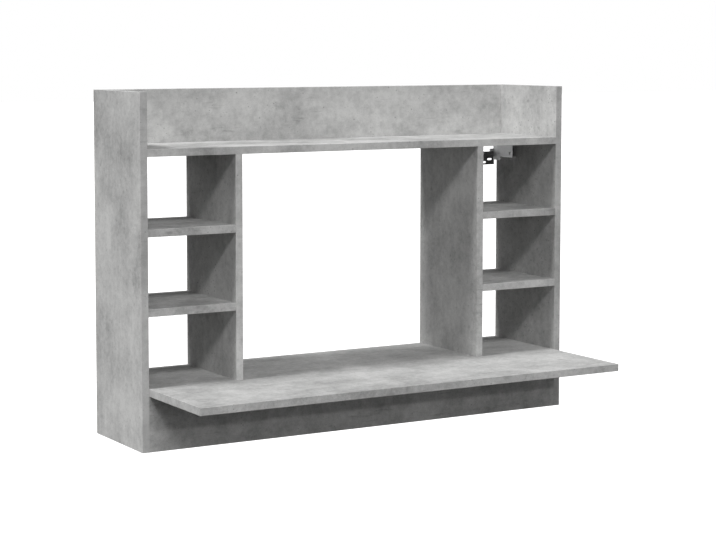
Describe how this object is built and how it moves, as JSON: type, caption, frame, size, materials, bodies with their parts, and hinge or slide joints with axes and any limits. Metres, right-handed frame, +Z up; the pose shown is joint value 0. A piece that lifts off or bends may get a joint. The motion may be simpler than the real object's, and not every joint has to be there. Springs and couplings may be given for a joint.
{
  "type": "wall desk",
  "caption": "Wall-hung desk of concrete-grey board: a cantilevered desktop over a plinth, between side panels with shelf bays and a top shelf, on adjustable hangers.",
  "frame": {"origin": "centre of the back panel's rear face, on the wall plane", "axes": "+X to the right along the wall, +Y into the wall, +Z up; the desktop projects along -Y"},
  "size_m": [1, 0.45, 0.7],
  "materials": {
    "board": "matt concrete-look melamine",
    "edging": "matt concrete-look edge band",
    "dowel_wood": "plain beech",
    "zinc": "bright zinc plate",
    "dark_steel": "black powder coat"
  },
  "bodies": {
    "cabinet": {"left_side_panel": "board", "right_side_panel": "board", "left_divider": "board", "right_divider": "board", "left_upper_shelf": "board", "left_lower_shelf": "board", "right_upper_shelf": "board", "right_lower_shelf": "board", "top_shelf": "board", "back_panel": "board", "desktop": "board", "plinth": "board", "left_side_panel_edging": "edging", "right_side_panel_edging": "edging", "left_divider_edging": "edging", "right_divider_edging": "edging", "left_upper_shelf_edging": "edging", "left_lower_shelf_edging": "edging", "right_upper_shelf_edging": "edging", "right_lower_shelf_edging": "edging", "top_shelf_edging": "edging", "back_panel_edging": "edging", "desktop_edging": "edging", "plinth_edging": "edging", "wood_dowels": "dowel_wood", "cam_locks": "zinc", "cam_bolts": "zinc", "divider_screws": "zinc", "hanger_screws": "zinc", "left_hanger_case": "zinc", "right_hanger_case": "zinc"},
    "left_hook": {"left_hanger_hook": "zinc", "left_wall_plate": "dark_steel"},
    "left_height_screw": {"left_height_screw": "zinc"},
    "right_hook": {"right_hanger_hook": "zinc", "right_wall_plate": "dark_steel"},
    "right_height_screw": {"right_height_screw": "zinc"}
  },
  "joints": [
    {"name": "left_height_screw_turn", "type": "hinge", "parent": "cabinet", "child": "left_height_screw", "pos_m": [-0.47875, -0.052, -0.089], "axis": [0, 0, 1], "range_deg": [-1800, 1800]},
    {"name": "left_hook_lift", "type": "slide", "parent": "cabinet", "child": "left_hook", "axis": [0, 0, 1], "range_m": [-0.005, 0.005]},
    {"name": "right_height_screw_turn", "type": "hinge", "parent": "cabinet", "child": "right_height_screw", "pos_m": [0.47875, -0.052, -0.089], "axis": [0, 0, 1], "range_deg": [-1800, 1800]},
    {"name": "right_hook_lift", "type": "slide", "parent": "cabinet", "child": "right_hook", "axis": [0, 0, 1], "range_m": [-0.005, 0.005]}
  ],
  "couplings": [
    {"joint": "left_height_screw_turn", "follows": "left_hook_lift", "rad_per_m": -6283.2},
    {"joint": "right_height_screw_turn", "follows": "right_hook_lift", "rad_per_m": -6283.2}
  ]
}
